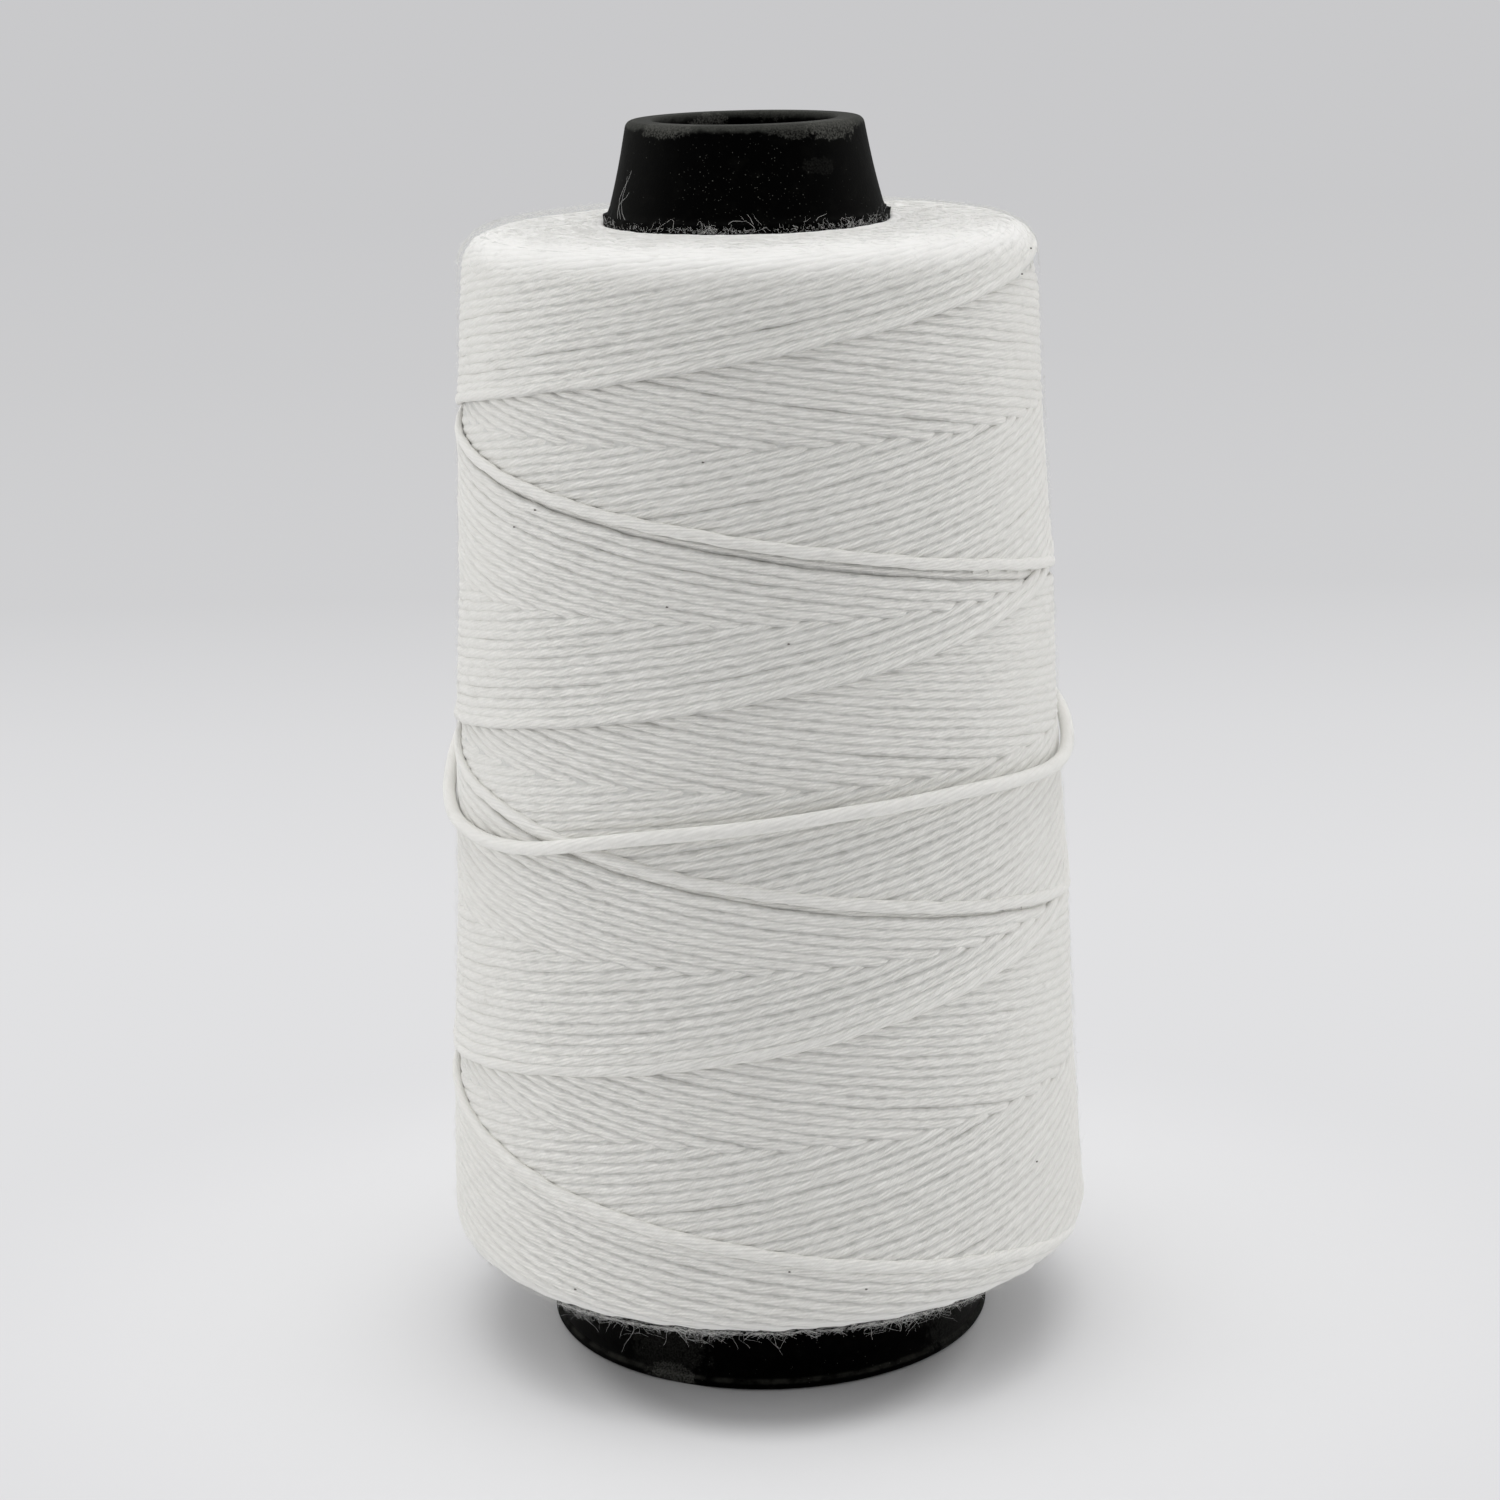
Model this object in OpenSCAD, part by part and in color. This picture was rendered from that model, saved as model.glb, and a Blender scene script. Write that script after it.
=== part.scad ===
// A package of thick sewing thread, cross-wound on a black plastic cone.
// The cone stands on its foot ring. Its axis is Z, and z = 0 is the surface it stands on.

/* [Plastic cone] */
// Overall height, from the foot to the rim of the nose
cone_height = 125; // [115:1:175]
// Outer diameter of the ring round the foot
foot_diameter = 46.2; // [42:0.2:52]
// Height of the ring round the foot
foot_ring_height = 1.2; // [0.6:0.1:3]
// How far the foot ring stands out from the wall
foot_ring_step = 0.3; // [0.1:0.05:0.6]
// Outer diameter of the cone's body just under the nose
neck_diameter = 28.2; // [28:0.1:34]
// Thickness of the moulded wall
wall = 1.8; // [1:0.1:2.4]

/* [Nose] */
// Height of the nose above the ledge at its foot
nose_height = 9.1; // [7:0.1:14]
// Diameter of the nose at its foot
nose_foot_diameter = 27.4; // [26.4:0.1:27.8]
// Diameter of the nose at its rim, before the edge is rounded
nose_rim_diameter = 23.2; // [22.6:0.1:25]
// Radius of the rounded outer edge of the rim
nose_edge_round = 0.8; // [0.3:0.1:1.2]
// Diameter of the hole through the nose
nose_hole_diameter = 18; // [12:0.2:18.4]
// Length of the straight wall of that hole
nose_hole_length = 3; // [2:0.1:5]

/* [Thread package] */
// Height of bare cone left under the thread
bare_foot = 10; // [6:0.5:16]
// Height of bare cone left between the thread and the ledge
bare_neck = 0.9; // [0.5:0.1:6]
// Diameter of the package at its top, over the outer layer
package_top_diameter = 56.8; // [48:0.2:62]
// Diameter of the package at its bottom, over the outer layer
package_bottom_diameter = 66.8; // [62:0.2:76]
// Radius of the package's rounded top edge
top_edge_round = 3.6; // [2:0.1:6]
// Radius of the package's rounded bottom edge
bottom_edge_round = 3.1; // [2:0.1:6]
// Radial gap between the thread and the cone it is wound on
package_fit = 0.1; // [0.05:0.05:0.3]

/* [Outer layer] */
// Diameter of the thread, drawn tight
thread_diameter = 1; // [0.7:0.05:1.2]
// Gap that crossing strokes keep between them
crossing_gap = 0.5; // [0.45:0.05:0.8]
// Space that the layer keeps from the package under it
layer_seat = 0.35; // [0.35:0.05:0.6]
// Diameter of the thread where it lies loose
loose_diameter = 1.25; // [0.9:0.05:1.4]

/* [Hidden] */
$fn = 120;

plastic_black = [0.07, 0.07, 0.07];
thread_white = [0.87, 0.87, 0.85];

// ---- The plastic cone ----

foot_radius = foot_diameter / 2;
neck_radius = neck_diameter / 2;
wall_foot_radius = foot_radius - foot_ring_step;
ledge_z = cone_height - nose_height;
nose_foot_radius = nose_foot_diameter / 2;
nose_rim_radius = nose_rim_diameter / 2;
nose_hole_radius = nose_hole_diameter / 2;
nose_hole_z = cone_height - nose_hole_length;
nose_slope = (nose_foot_radius - nose_rim_radius) / nose_height;
nose_angle = atan(nose_slope);

// Outer radius of the cone's body and of its nose at a height
function body_radius(z) = wall_foot_radius + (neck_radius - wall_foot_radius) * z / ledge_z;
function nose_radius(z) = nose_rim_radius + (cone_height - z) * nose_slope;

// Where a rounded edge's circle sits, so that it touches a sloping side and a level face
function edge_centre(side_radius, z, round, angle) = [side_radius - round / cos(angle), z];
function edge_touch(centre, round, angle) = centre + round * [cos(angle), sin(angle)];

module cone_profile() {
    rim_z = cone_height - nose_edge_round;
    rim_centre = edge_centre(nose_radius(rim_z), rim_z, nose_edge_round, nose_angle);
    ring_round = foot_ring_height / 2;
    ring_centre = [foot_radius - ring_round, ring_round];
    polygon([
        [wall_foot_radius - wall, 0],
        [ring_centre.x, 0],
        [ring_centre.x, foot_ring_height],
        [body_radius(foot_ring_height), foot_ring_height],
        [neck_radius, ledge_z],
        [nose_foot_radius, ledge_z],
        edge_touch(rim_centre, nose_edge_round, nose_angle),
        [rim_centre.x, cone_height],
        [nose_hole_radius, cone_height],
        [nose_hole_radius, nose_hole_z],
        [nose_radius(nose_hole_z) - wall, nose_hole_z],
        [nose_foot_radius - wall, ledge_z]
    ]);
    translate(rim_centre) circle(r = nose_edge_round);
    translate(ring_centre) circle(r = ring_round);
}

module plastic_cone() {
    color(plastic_black) rotate_extrude() cone_profile();
}

// ---- The package under the outer layer ----

package_top = ledge_z - bare_neck;
package_bottom = bare_foot;
package_taper = (package_bottom_diameter - package_top_diameter) / 2 / (package_top - package_bottom);
package_angle = atan(package_taper);
layer_depth = layer_seat + 2 * thread_diameter + crossing_gap;

// Radius over the outer layer, and of the package that it is wound on, at a height
function package_radius(z) = package_top_diameter / 2 + (package_top - z) * package_taper;
function core_radius(z) = package_radius(z) - layer_depth;

module package_profile() {
    top_z = package_top - top_edge_round;
    bottom_z = package_bottom + bottom_edge_round;
    top_centre = edge_centre(core_radius(top_z), top_z, top_edge_round, package_angle);
    bottom_centre = edge_centre(core_radius(bottom_z), bottom_z, bottom_edge_round, package_angle);
    polygon([
        [body_radius(package_bottom) + package_fit, package_bottom],
        [bottom_centre.x, package_bottom],
        edge_touch(bottom_centre, bottom_edge_round, package_angle),
        edge_touch(top_centre, top_edge_round, package_angle),
        [top_centre.x, package_top],
        [body_radius(package_top) + package_fit, package_top]
    ]);
    translate(top_centre) circle(r = top_edge_round);
    translate(bottom_centre) circle(r = bottom_edge_round);
}

module thread_package() {
    color(thread_white) rotate_extrude() package_profile();
}

// ---- Tubes swept along a path ----

function unit(v) = v / norm(v);
function smooth(x) = x * x * (3 - 2 * x);
function at(angle, radius, z) = [radius * cos(angle), radius * sin(angle), z];

function path_direction(path, i) = unit(path[min(i + 1, len(path) - 1)] - path[max(i - 1, 0)]);

function ring(centre, direction, radius, sides) =
    let (out = unit(cross(direction, [0, 0, 1])), up = cross(out, direction))
    [for (k = [0 : sides - 1]) centre + radius * (cos(360 * k / sides) * out + sin(360 * k / sides) * up)];

module tube(path, diameter, sides) {
    last = len(path) - 1;
    rings = [for (i = [0 : last]) each ring(path[i], path_direction(path, i), diameter / 2, sides)];
    walls = [for (i = [0 : last - 1], k = [0 : sides - 1])
        let (a = i * sides + k, b = i * sides + (k + 1) % sides)
        each [[a, b, a + sides], [b, b + sides, a + sides]]];
    start_cap = [for (k = [1 : sides - 2]) [0, k + 1, k]];
    end_cap = [for (k = [1 : sides - 2]) [last * sides, last * sides + k, last * sides + k + 1]];
    polyhedron(points = rings, faces = concat(walls, start_cap, end_cap), convexity = 10);
}

// ---- The outer layer: one thread laid in down and up strokes that cross ----

rings_per_turn = 24;
layer_sides = 6;
stroke_turns = 3.125;      // each pair of strokes comes back a quarter turn on
full_strokes = 7;          // down strokes first, and the last one, which goes up, is not finished
last_stroke_turns = 1.5;
reversal_turns = 0.2;      // where a stroke slows down, on each side of its reversal
changeover_turns = 0.1;    // where it moves between the lower and the upper level, on each side
end_angle = 110;           // where the thread leaves the layer
touch = 0.05;              // space between an end face and what it meets

layer_turns = full_strokes * stroke_turns + last_stroke_turns;
layer_rings = round(layer_turns * rings_per_turn);
layer_top = package_top - top_edge_round;
layer_bottom = package_bottom + bottom_edge_round;

// Share of the layer's height covered at a share of the stroke
function travel(share) =
    let (q = reversal_turns / stroke_turns)
    share < q ? share * share / (2 * q * (1 - q))
    : share > 1 - q ? 1 - (1 - share) * (1 - share) / (2 * q * (1 - q))
    : (share - q / 2) / (1 - q);

function layer_z(t) =
    let (stroke = floor(t / stroke_turns), covered = travel(t / stroke_turns - stroke))
    let (down = stroke % 2 == 0 ? covered : 1 - covered)
    layer_top + (layer_bottom - layer_top) * down;

// 0 on the lower level, where down strokes lie, and 1 on the upper level, where up strokes lie
function layer_level(t) =
    let (stroke = floor(t / stroke_turns), into = t - stroke * stroke_turns)
    let (settled = smooth(min(1, 0.5 + min(into, stroke_turns - into) / (2 * changeover_turns))))
    t < changeover_turns ? 1 - smooth(t / changeover_turns) : stroke % 2 == 0 ? 1 - settled : settled;

function layer_height(t) =
    layer_seat + thread_diameter / 2 + layer_level(t) * (thread_diameter + crossing_gap);
function layer_angle(t) = end_angle - 360 * (layer_turns - t);
function layer_point(t) = at(layer_angle(t), core_radius(layer_z(t)) + layer_height(t), layer_z(t));

// The thread comes straight out of the package for one diameter and bends round into its first stroke
rise_radius = core_radius(layer_top) + touch + thread_diameter;
bend_radius = core_radius(layer_top) + layer_height(0) - rise_radius;
bend_step = 30;
rise = [for (r = [rise_radius - thread_diameter, rise_radius])
    at(layer_angle(0) - bend_radius / r * 180 / PI, r, layer_top)];
bend = [for (a = [bend_step : bend_step : 90 - bend_step])
    let (r = rise_radius + bend_radius * sin(a))
    at(layer_angle(0) - bend_radius * cos(a) / r * 180 / PI, r, layer_top)];
turns = [for (i = [0 : layer_rings]) layer_point(layer_turns * i / layer_rings)];
leaving = unit(layer_point(layer_turns + 0.01) - layer_point(layer_turns - 0.01));
layer_path = concat(rise, bend, turns, [turns[layer_rings] + thread_diameter * leaving]);

// The least gap of the layer to itself, measured between all its turns at the same angle
samples_per_ring = 6;
function turns_point(i) =
    let (before = floor(i), after = min(before + 1, layer_rings))
    turns[before] + (turns[after] - turns[before]) * (i - before);
function turns_at(start) = [for (i = [start : rings_per_turn : layer_rings]) turns_point(i)];
function least_gap() = min([
    for (start = [0 : 1 / samples_per_ring : rings_per_turn - 1 / samples_per_ring])
    let (column = turns_at(start))
    for (i = [0 : len(column) - 2], j = [i + 1 : len(column) - 1]) norm(column[i] - column[j])
]) - thread_diameter;

module outer_thread_layer() {
    echo(str("least gap of the outer layer to itself: ", least_gap(), " mm"));
    color(thread_white) tube(layer_path, thread_diameter, layer_sides);
}

// ---- The loose end: it leaves the layer at the back and lies once round the package ----

loose_sides = 8;
loose_route = [
    [-11.4, 28.3, 60.3],
    [-14.4, 27.0, 61.1],
    [-18.2, 25.1, 62.4],
    [-22.1, 22.1, 63.6],
    [-25.8, 18.1, 64.4],
    [-28.7, 13.3, 64.4],
    [-30.4, 8.7, 63.2],
    [-31.4, 4.4, 61.2],
    [-31.8, 0.6, 59.3],
    [-31.7, -3.3, 58.0],
    [-30.8, -8.3, 57.1],
    [-28.9, -13.5, 56.9],
    [-26.1, -18.3, 57.0],
    [-22.5, -22.5, 57.6],
    [-18.3, -26.1, 58.8],
    [-13.4, -28.8, 60.0],
    [-8.2, -30.6, 60.9],
    [-2.8, -31.6, 61.6],
    [2.8, -31.5, 62.2],
    [8.2, -30.6, 62.7],
    [13.4, -28.7, 62.9],
    [18.1, -25.9, 63.0],
    [22.4, -22.4, 62.8],
    [25.9, -18.2, 62.4],
    [28.7, -13.4, 62.0],
    [30.6, -8.2, 61.9],
    [31.5, -2.8, 62.5],
    [31.5, 2.8, 63.7],
    [30.5, 8.2, 64.9],
    [28.6, 13.3, 65.5],
    [25.8, 18.1, 65.5],
    [22.3, 22.3, 64.7],
    [18.6, 25.6, 62.9],
    [14.9, 28.0, 60.4],
    [11.4, 29.8, 57.4],
    [8.3, 31.0, 54.0],
    [5.6, 31.7, 50.3]
];

// The point halfway between two route points, on a smooth curve through their neighbours
function halfway(route, i) =
    let (before = i > 0 ? route[i - 1] : 2 * route[0] - route[1])
    let (after = i + 2 < len(route) ? route[i + 2] : 2 * route[i + 1] - route[i])
    (9 * (route[i] + route[i + 1]) - before - after) / 16;

loose_path = concat(
    [for (i = [0 : len(loose_route) - 2]) each [loose_route[i], halfway(loose_route, i)]],
    [loose_route[len(loose_route) - 1]]
);

module loose_thread_end() {
    color(thread_white) tube(loose_path, loose_diameter, loose_sides);
}

plastic_cone();
thread_package();
outer_thread_layer();
loose_thread_end();
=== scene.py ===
"""A cone of thick white sewing thread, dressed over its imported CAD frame.

The winding is laid strand by strand, as a winding machine lays it: one thread goes down and up the package
while the cone turns, and each trip down and up starts a little further back than the one before. Where two
strands cross, the one that was laid later lies on top.

Lengths are in millimetres until a mesh is made, and angles are in radians from +X, anticlockwise from above.
"""

import math

import bpy
import numpy as np
from mathutils import Matrix, Vector


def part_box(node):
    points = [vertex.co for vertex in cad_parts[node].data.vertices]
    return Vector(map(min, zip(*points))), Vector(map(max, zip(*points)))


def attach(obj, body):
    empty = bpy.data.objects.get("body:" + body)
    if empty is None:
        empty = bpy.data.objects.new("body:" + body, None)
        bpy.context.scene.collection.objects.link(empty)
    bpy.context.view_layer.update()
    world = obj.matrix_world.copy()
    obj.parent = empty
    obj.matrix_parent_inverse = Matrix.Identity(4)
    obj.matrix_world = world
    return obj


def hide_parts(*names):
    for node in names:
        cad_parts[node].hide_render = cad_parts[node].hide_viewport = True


MM = 0.001
TURN = 2 * math.pi

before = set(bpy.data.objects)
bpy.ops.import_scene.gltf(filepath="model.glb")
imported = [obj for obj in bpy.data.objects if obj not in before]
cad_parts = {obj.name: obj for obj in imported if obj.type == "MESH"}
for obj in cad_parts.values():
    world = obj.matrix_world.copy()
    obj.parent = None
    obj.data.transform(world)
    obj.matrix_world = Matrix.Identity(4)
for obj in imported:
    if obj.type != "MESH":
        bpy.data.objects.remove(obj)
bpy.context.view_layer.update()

# ---- The plastic cone ----

CONE_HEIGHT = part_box("plastic_cone")[1].z / MM
FOOT_RADIUS = 23.1
FOOT_RING_HEIGHT = 1.2
FOOT_RING_STEP = 0.3
NECK_RADIUS = 14.1
WALL = 1.8
NOSE_HEIGHT = 9.1
NOSE_FOOT_RADIUS = 13.7
NOSE_RIM_RADIUS = 11.6
NOSE_EDGE_ROUND = 0.8
NOSE_HOLE_RADIUS = 9.0
NOSE_HOLE_LENGTH = 3.0
LEDGE = CONE_HEIGHT - NOSE_HEIGHT
NOSE_HOLLOW = 0.12          # how far the nose's sides curve in
BURR = 0.08                 # of the moulding at the nose's foot

# ---- The package of thread ----

PACKAGE_BOTTOM = 10.0
PACKAGE_TOP = 115.0
BOTTOM_RADIUS = 33.4
TOP_RADIUS = 28.4
TOP_ROUND = 3.6
BOTTOM_ROUND = 3.1
PACKAGE_FIT = 0.1
LAYER_DEPTH = 2.85          # of the outer layer, from the package's outside to its inner body
SKIN_DEPTH = 0.55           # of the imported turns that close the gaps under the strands
TAPER = (BOTTOM_RADIUS - TOP_RADIUS) / (PACKAGE_TOP - PACKAGE_BOTTOM)
LEAN = math.atan(TAPER)
SIDE_TOP = PACKAGE_TOP - TOP_ROUND * (1 - math.sin(LEAN))
SIDE_BOTTOM = PACKAGE_BOTTOM + BOTTOM_ROUND * (1 + math.sin(LEAN))

# ---- How the thread is wound ----

THREAD = 1.0                # thickness of the thread where it is wound tight
STRANDS_PER_PITCH = 34.5    # trips that the thread makes before its strands lie on its first ones
TOP_PITCH = 29.5            # height covered in one turn at the top of the package
PITCH_GROWTH = 0.085        # growth of that height for each millimetre further down
SHIFT = TURN / STRANDS_PER_PITCH
FRONT = math.radians(-91)
UP_HEIGHT_AT_FRONT = 73.9   # where the newest strand that goes up passes the front
DOWN_HEIGHT_AT_FRONT = 55.2
LAST_HEIGHT = 60.3          # where the thread leaves the package
LAST_ANGLE = math.radians(111.9)
CLOSING = 7.0               # height in which the strands above it close the gap that it leaves
GROOVES = ((84, 9, 1.1), (54, 7, 0.65))  # beside the newest strand down: height, reach and width
GROOVE_LEAST = 0.2          # width of the groove elsewhere
OVERLAP = 1.35              # width of a strand as a share of the room that its neighbours leave it
UNDER = 0.38                # how much deeper a strand lies where it has dived under others
NEWEST_HIGH = 0.2           # how far the newest strands stand out of the package's mean outside
NEWEST_PROUD = 0.22         # how much further the newest strand down stands out
EDGE_RISE = 0.22            # how far the newest strands up stand out
EDGE_DIP = 0.2              # how much deeper the strands down lie just below them
LOOSE_CROSSING = 57.6       # height where that strand goes under the loose end
TOP_SETTLE = 0.22           # how much deeper the strands lie where they go over the top edge
TOP_SINK = 0.5              # how much they sink under the level turns further in
BOTTOM_SINK = 0.5           # and at the bottom edge
SWELL = 0.4                 # how much the turns on the end faces rise where they meet the cone
AGE_DROP = 0.015            # how much deeper each older trip lies
DIVE = 0.9                  # strands that a strand crosses while it dives
TRIPS = 35                  # trips up and down of which a part still shows
RING_STEP = 0.8             # distance between the rings of a strand's mesh


# ---- Small helpers for meshes and node trees ----

def dress(piece, *nodes):
    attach(piece, "root")
    if nodes:
        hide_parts(*nodes)


def link(thing):
    bpy.context.scene.collection.objects.link(thing)
    return thing


def add(tree, kind, inputs=None, **settings):
    """Adds a node. An input is a plain value or another node's output."""
    made = tree.nodes.new(kind)
    for name, value in settings.items():
        setattr(made, name, value)
    for key, value in (inputs or {}).items():
        socket = made.inputs[key]
        if isinstance(value, bpy.types.NodeSocket):
            tree.links.new(value, socket)
        else:
            socket.default_value = value
    return made


def tree_of(*values):
    """The node tree that the outputs among some values belong to."""
    return next(v.id_data for v in values if isinstance(v, bpy.types.NodeSocket))


def math_node(operation, a, b=0.0, c=0.0, clamp=False):
    inputs = {0: a, 1: b, 2: c}
    return add(tree_of(a, b, c), "ShaderNodeMath", inputs, operation=operation, use_clamp=clamp).outputs[0]


def times(a, b):
    return math_node("MULTIPLY", a, b)


def times_plus(a, b, c, clamp=False):
    return math_node("MULTIPLY_ADD", a, b, c, clamp)


def minus(a, b):
    return math_node("SUBTRACT", a, b)


def vector_node(operation, a, b=(0, 0, 0), c=(0, 0, 0)):
    made = add(tree_of(a, b, c), "ShaderNodeVectorMath", {0: a, 1: b, 2: c}, operation=operation)
    return made.outputs["Value" if operation == "LENGTH" else "Vector"]


def mix_colour(share, a, b):
    made = add(tree_of(share), "ShaderNodeMix", {0: share, 6: a, 7: b}, data_type="RGBA")
    return made.outputs[2]


def spread(value, low, high, to_low=0.0, to_high=1.0, smooth=True):
    """Maps a value from one range to another and stops at the ends."""
    return add(tree_of(value), "ShaderNodeMapRange", {
        "Value": value, "From Min": low, "From Max": high, "To Min": to_low, "To Max": to_high},
               interpolation_type="SMOOTHSTEP" if smooth else "LINEAR").outputs[0]


def noise(place, scale, detail, roughness=0.5):
    return add(tree_of(place), "ShaderNodeTexNoise", {
        "Vector": place, "Scale": scale, "Detail": detail, "Roughness": roughness}).outputs["Fac"]


def noise_along(place):
    return add(tree_of(place), "ShaderNodeTexNoise", {
        "W": place, "Detail": 1.0}, noise_dimensions="1D").outputs["Fac"]


def stored(tree, name, output="Fac"):
    """A value that the mesh carries."""
    return add(tree, "ShaderNodeAttribute", attribute_name=name).outputs[output]


def own_place(tree):
    return add(tree, "ShaderNodeTexCoord").outputs["Object"]


def camera_sees(tree):
    return add(tree, "ShaderNodeLightPath").outputs["Is Camera Ray"]


def grey(level, blue=1.0):
    return level, level, level * blue, 1


def new_finish(name):
    """A material, its node tree and its shader."""
    material = bpy.data.materials.new(name)
    material.use_nodes = True
    return material, material.node_tree, material.node_tree.nodes["Principled BSDF"]


def set_finish(tree, shader, colour, bump=None, **values):
    """Joins a colour and a bump to the shader, and sets its plain values by their names, with spaces written
    as underscores."""
    tree.links.new(colour, shader.inputs["Base Color"])
    if bump:
        tree.links.new(bump.outputs[0], shader.inputs["Normal"])
    for name, value in values.items():
        shader.inputs[name.replace("_", " ")].default_value = value


def open_group(name, kind, inputs, outputs):
    """A node group, its input node and its output node. The sockets are given by name, each with its type."""
    tree = bpy.data.node_groups.new(name, kind)
    for way, sockets in (("INPUT", inputs), ("OUTPUT", outputs)):
        for label, socket_type in sockets.items():
            tree.interface.new_socket(name=label, in_out=way, socket_type="NodeSocket" + socket_type)
    return tree, tree.nodes.new("NodeGroupInput"), tree.nodes.new("NodeGroupOutput")


def set_inputs(modifier, **values):
    """Sets a Geometry Nodes modifier's inputs by their names, with spaces written as underscores."""
    for item in modifier.node_group.interface.items_tree:
        name = item.name.replace(" ", "_")
        if item.in_out == "INPUT" and name in values:
            modifier[item.identifier] = values[name]


def grown(carrier, tree, **values):
    """Runs a Geometry Nodes tree on a carrier object and keeps the result as a plain mesh."""
    modifier = carrier.modifiers.new(tree.name, "NODES")
    modifier.node_group = tree
    set_inputs(modifier, **values)
    depsgraph = bpy.context.evaluated_depsgraph_get()
    mesh = bpy.data.meshes.new_from_object(
        carrier.evaluated_get(depsgraph), preserve_all_data_layers=True, depsgraph=depsgraph)
    name = carrier.name
    bpy.data.objects.remove(carrier)
    mesh.name = name
    return link(bpy.data.objects.new(name, mesh))


def ease(x):
    x = np.clip(x, 0, 1)
    return x * x * (3 - 2 * x)


# ---- The outside of the package ----

def side_radius(height):
    return TOP_RADIUS + (PACKAGE_TOP - height) * TAPER


def skin(s):
    """Radius, height and facing angle of the package's outside at s, which is the height on its straight side
    and goes on as a distance round both edges and over both end faces."""
    up = np.clip((s - SIDE_TOP) / TOP_ROUND, 0, math.pi / 2 - LEAN)
    down = np.clip((SIDE_BOTTOM - s) / BOTTOM_ROUND, 0, math.pi / 2 + LEAN)
    facing = LEAN + up - down
    past_edge = np.maximum(0, s - SIDE_TOP - TOP_ROUND * (math.pi / 2 - LEAN)) + np.maximum(
        0, SIDE_BOTTOM - s - BOTTOM_ROUND * (math.pi / 2 + LEAN))
    on_side = np.clip(s, SIDE_BOTTOM, SIDE_TOP)
    edge_round = np.where(up > 0, TOP_ROUND, BOTTOM_ROUND)
    radius = side_radius(on_side) + edge_round * (np.cos(facing) - math.cos(LEAN)) - past_edge
    height = on_side + edge_round * (np.sin(facing) - math.sin(LEAN))
    return radius, height, facing


def lay(angle, s, raised):
    """Points at an angle and a place s on the package, raised by a distance from its outside, and the
    direction that the outside faces there."""
    radius, height, facing = skin(s)
    x, y = np.cos(angle), np.sin(angle)
    outward = np.stack([np.cos(facing) * x, np.cos(facing) * y, np.sin(facing)], axis=1)
    foot = np.stack([radius * x, radius * y, height], axis=1)
    return foot + raised[:, None] * outward, outward


# ---- The rule of the winding ----

def pitch(height):
    return TOP_PITCH + (PACKAGE_TOP - height) * PITCH_GROWTH


def turned(height):
    """Angle that the cone turns while the thread goes up from the package's bottom to a height."""
    return TURN / PITCH_GROWTH * np.log(pitch(PACKAGE_BOTTOM) / pitch(height))


def height_after(angle):
    pitch_there = pitch(PACKAGE_BOTTOM) * np.exp(-PITCH_GROWTH * angle / TURN)
    return PACKAGE_TOP - (pitch_there - TOP_PITCH) / PITCH_GROWTH


UP_START = FRONT - turned(UP_HEIGHT_AT_FRONT)
DOWN_START = FRONT + turned(DOWN_HEIGHT_AT_FRONT)


def strand_spacing(height):
    return pitch(height) / STRANDS_PER_PITCH


def groove_share(height):
    """Width of the groove beside the newest strand down, in strand spacings. It closes towards the bottom."""
    width = GROOVE_LEAST * ease((height - 28) / 14)
    for middle, reach, extra in GROOVES:
        width = width + extra * np.exp(-((height - middle) / reach) ** 2)
    return width / strand_spacing(height)


def closed_up(height):
    """How far the strands up have closed the gap that the lost last strand leaves above the loose end."""
    return np.clip((height - LAST_HEIGHT) / CLOSING, 0, 1)


def age_up(angle, height):
    """How many trips ago the strand up at this place was laid, and the age of the newest one there."""
    newest = np.where(height > LAST_HEIGHT, 1 - closed_up(height), 0)
    age = (UP_START + turned(height) - angle) / SHIFT
    return np.mod(age - newest, STRANDS_PER_PITCH) + newest, newest


def age_down(angle, height):
    age = np.mod((DOWN_START - turned(height) - angle) / SHIFT, STRANDS_PER_PITCH)
    groove = groove_share(height)
    return np.where(age < 1 + groove, age / (1 + groove), age - groove), age


def level_of_up(trip, angle, height):
    """1 where the strand up of a trip lies on top, and 0 where it has dived under the strands down."""
    other, plain_age = age_down(angle, height)
    own_age = np.where(height > LAST_HEIGHT, np.maximum(trip - closed_up(height), 1), trip)
    level = ease((other - own_age + 0.5) / DIVE + 0.58)
    if 0 < trip < STRANDS_PER_PITCH - 0.5:
        level = np.maximum(level, ease((0.6 - plain_age) / 0.7))
        level = np.minimum(level, ease((STRANDS_PER_PITCH - plain_age + 0.6) / 0.7))
    return np.maximum(level, ease((height - SIDE_TOP + 5) / 3))


def level_of_down(trip, angle, height):
    other, newest = age_up(angle, height)
    level = ease((other - trip - 0.5) / DIVE + 0.58)
    if trip < STRANDS_PER_PITCH - 0.5:
        level = np.maximum(level, ease((0.45 + newest - other) / 0.6))
        level = np.minimum(level, ease((STRANDS_PER_PITCH + newest - other + 0.45) / 0.6))
    if trip == 0:
        level = np.where(height > LAST_HEIGHT, 1, level)
    return np.minimum(level, ease((SIDE_TOP - 1 - height) / 3))


def wander(rng, along, size):
    """A smooth irregular wave along a strand."""
    wave = np.zeros_like(along)
    for length in (3.0, 7.0, 13.0, 29.0):
        wave += np.sin(TURN * (along / (length * rng.uniform(0.8, 1.25)) + rng.uniform()))
    return wave * size / 2


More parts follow.
